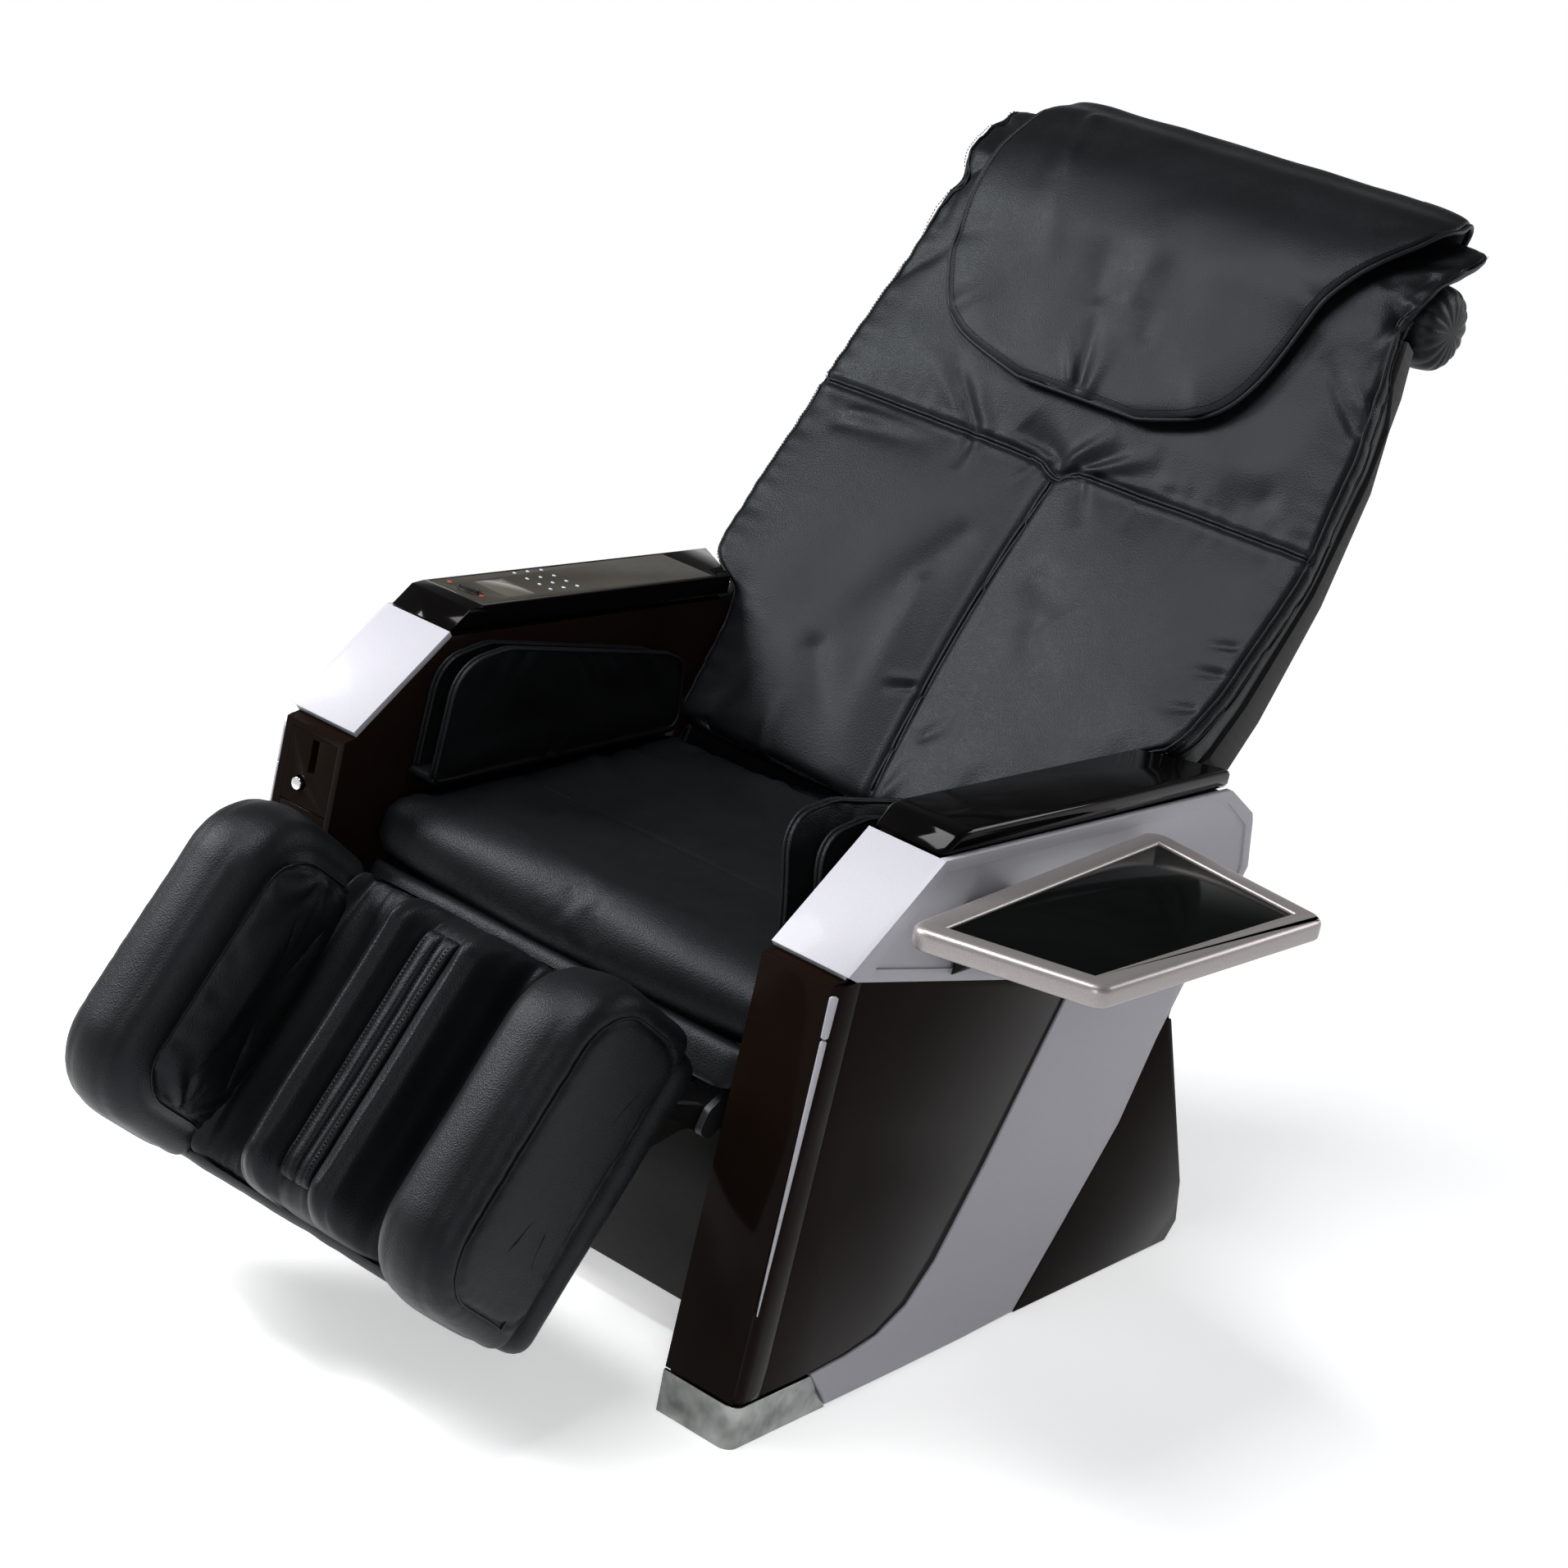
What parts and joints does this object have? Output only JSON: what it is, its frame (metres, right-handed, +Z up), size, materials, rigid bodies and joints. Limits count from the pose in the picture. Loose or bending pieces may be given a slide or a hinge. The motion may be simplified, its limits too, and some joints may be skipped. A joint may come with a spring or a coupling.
{
  "type": "massage chair",
  "caption": "Coin-operated reclining massage chair with a lifting leg rest, arm cuffs, a coin unit in the arm and a fold-down side tray.",
  "frame": {"origin": "on the floor, on the plane of symmetry, under the middle of the base", "axes": "+Z up, the chair faces -Y, the sitter's left is +X"},
  "size_m": [1.0252, 1.4815, 1.1823],
  "materials": {
    "gloss_black": "gloss",
    "satin_black": "satin",
    "silver_trim": "satin",
    "tray_silver": "satin",
    "chrome": "polished",
    "black_leather": "satin",
    "back_cover": "matte",
    "dark_steel": "satin",
    "zinc_steel": "satin",
    "roller_rubber": "matte",
    "display": "gloss"
  },
  "bodies": {
    "root": {"base_cross_middle": "dark_steel", "base_cross_rear": "dark_steel", "left_base_frame": "dark_steel", "right_base_frame": "dark_steel", "seat_pan": "dark_steel", "seat_cushion": "black_leather", "seat_skirt": "black_leather", "front_cover": "satin_black", "rear_cover": "satin_black", "power_box": "satin_black", "air_pump": "satin_black", "left_cabinet_shell": "gloss_black", "right_cabinet_shell": "gloss_black", "left_side_panel": "gloss_black", "right_side_panel": "gloss_black", "left_rear_panel": "gloss_black", "right_rear_panel": "gloss_black", "left_side_strip": "silver_trim", "right_side_strip": "silver_trim", "left_arm_trim": "silver_trim", "right_arm_trim": "silver_trim", "left_kick_plate": "chrome", "right_kick_plate": "chrome", "left_armrest_top": "gloss_black", "right_armrest_top": "gloss_black", "left_arm_cuff": "black_leather", "right_arm_cuff": "black_leather", "coin_panel": "satin_black", "coin_acceptor": "zinc_steel", "coin_box": "zinc_steel", "control_panel": "satin_black", "display_window": "display", "tray_bracket": "satin_black"},
    "coin_return_button": {"coin_return_button": "chrome"},
    "cash_door": {"cash_door": "gloss_black"},
    "cash_door_lock": {"cash_door_lock": "chrome"},
    "power_key": {"power_key": "satin_black"},
    "tray": {"tray_frame": "tray_silver", "tray_inset": "gloss_black"},
    "back": {"back_frame": "dark_steel", "back_shell": "back_cover", "back_cushion": "black_leather", "head_flap": "black_leather", "top_bolster": "black_leather"},
    "roller_carriage": {"roller_carriage": "dark_steel"},
    "left_roller_arm": {"left_roller_arm": "zinc_steel"},
    "right_roller_arm": {"right_roller_arm": "zinc_steel"},
    "left_lower_roller": {"left_lower_roller": "roller_rubber"},
    "left_upper_roller": {"left_upper_roller": "roller_rubber"},
    "right_lower_roller": {"right_lower_roller": "roller_rubber"},
    "right_upper_roller": {"right_upper_roller": "roller_rubber"},
    "leg_rest": {"leg_shell": "satin_black", "calf_lining": "black_leather", "calf_divider": "black_leather", "left_calf_bolster": "black_leather", "right_calf_bolster": "black_leather"},
    "back_actuator": {"back_actuator": "satin_black"},
    "back_actuator_rod": {"back_actuator_rod": "zinc_steel"},
    "leg_actuator": {"leg_actuator": "satin_black"},
    "leg_actuator_rod": {"leg_actuator_rod": "zinc_steel"}
  },
  "joints": [
    {"name": "back_recline", "type": "hinge", "parent": "root", "child": "back", "pos_m": [0, 0.262, 0.43], "axis": [-1, 0, 0], "range_deg": [0, 30]},
    {"name": "leg_lift", "type": "hinge", "parent": "root", "child": "leg_rest", "pos_m": [0, -0.345, 0.285], "axis": [-1, 0, 0], "range_deg": [-25, 35]},
    {"name": "tray_fold", "type": "hinge", "parent": "root", "child": "tray", "pos_m": [0.42, 0, 0.548], "axis": [0, 1, 0], "range_deg": [0, 90]},
    {"name": "coin_return_press", "type": "slide", "parent": "root", "child": "coin_return_button", "axis": [0, 0.9982, -0.0592], "range_m": [0, 0.003], "stiffness_N_per_m": 300},
    {"name": "power_key_press", "type": "slide", "parent": "root", "child": "power_key", "axis": [0, -0.0403, -0.9992], "range_m": [0, 0.0015], "stiffness_N_per_m": 400},
    {"name": "cash_door_swing", "type": "hinge", "parent": "root", "child": "cash_door", "pos_m": [-0.368, -0.3914, 0.2765], "axis": [0, -0.0592, -0.9982], "range_deg": [0, 110]},
    {"name": "cash_door_lock_turn", "type": "hinge", "parent": "cash_door", "child": "cash_door_lock", "pos_m": [-0.312, -0.3889, 0.32], "axis": [0, -0.9982, 0.0592], "range_deg": [0, 90]},
    {"name": "carriage_travel", "type": "slide", "parent": "back", "child": "roller_carriage", "axis": [0, 0.5736, 0.8191], "range_m": [-0.18, 0.33]},
    {"name": "left_arm_rock", "type": "hinge", "parent": "roller_carriage", "child": "left_roller_arm", "pos_m": [0, 0.3817, 0.6532], "axis": [1, 0, 0], "range_deg": [-8, 8]},
    {"name": "right_arm_rock", "type": "hinge", "parent": "roller_carriage", "child": "right_roller_arm", "pos_m": [0, 0.3817, 0.6532], "axis": [1, 0, 0], "range_deg": [-8, 8]},
    {"name": "left_lower_roller_spin", "type": "hinge", "parent": "left_roller_arm", "child": "left_lower_roller", "pos_m": [0.0905, 0.3519, 0.6106], "axis": [1, 0, 0], "continuous": true},
    {"name": "left_upper_roller_spin", "type": "hinge", "parent": "left_roller_arm", "child": "left_upper_roller", "pos_m": [0.0905, 0.4115, 0.6958], "axis": [1, 0, 0], "continuous": true},
    {"name": "right_lower_roller_spin", "type": "hinge", "parent": "right_roller_arm", "child": "right_lower_roller", "pos_m": [-0.0905, 0.3519, 0.6106], "axis": [1, 0, 0], "continuous": true},
    {"name": "right_upper_roller_spin", "type": "hinge", "parent": "right_roller_arm", "child": "right_upper_roller", "pos_m": [-0.0905, 0.4115, 0.6958], "axis": [1, 0, 0], "continuous": true},
    {"name": "back_actuator_swing", "type": "hinge", "parent": "root", "child": "back_actuator", "pos_m": [0.07, -0.06, 0.11], "axis": [1, 0, 0], "range_deg": [-1, 6]},
    {"name": "back_actuator_stroke", "type": "slide", "parent": "back_actuator", "child": "back_actuator_rod", "axis": [0, 0.8432, 0.5376], "range_m": [-0.05, 0.002]},
    {"name": "leg_actuator_swing", "type": "hinge", "parent": "root", "child": "leg_actuator", "pos_m": [-0.07, 0.06, 0.11], "axis": [1, 0, 0], "range_deg": [-2, 2]},
    {"name": "leg_actuator_stroke", "type": "slide", "parent": "leg_actuator", "child": "leg_actuator_rod", "axis": [0, -0.962, 0.2731], "range_m": [-0.028, 0.038]}
  ],
  "couplings": [
    {"joint": "right_arm_rock", "follows": "left_arm_rock", "ratio": -1},
    {"joint": "back_actuator_swing", "follows": "back_recline", "ratio": 0.1396},
    {"joint": "back_actuator_stroke", "follows": "back_recline", "m_per_rad": -0.08579},
    {"joint": "leg_actuator_swing", "follows": "leg_lift", "ratio": 0.0216},
    {"joint": "leg_actuator_stroke", "follows": "leg_lift", "m_per_rad": 0.05773}
  ]
}
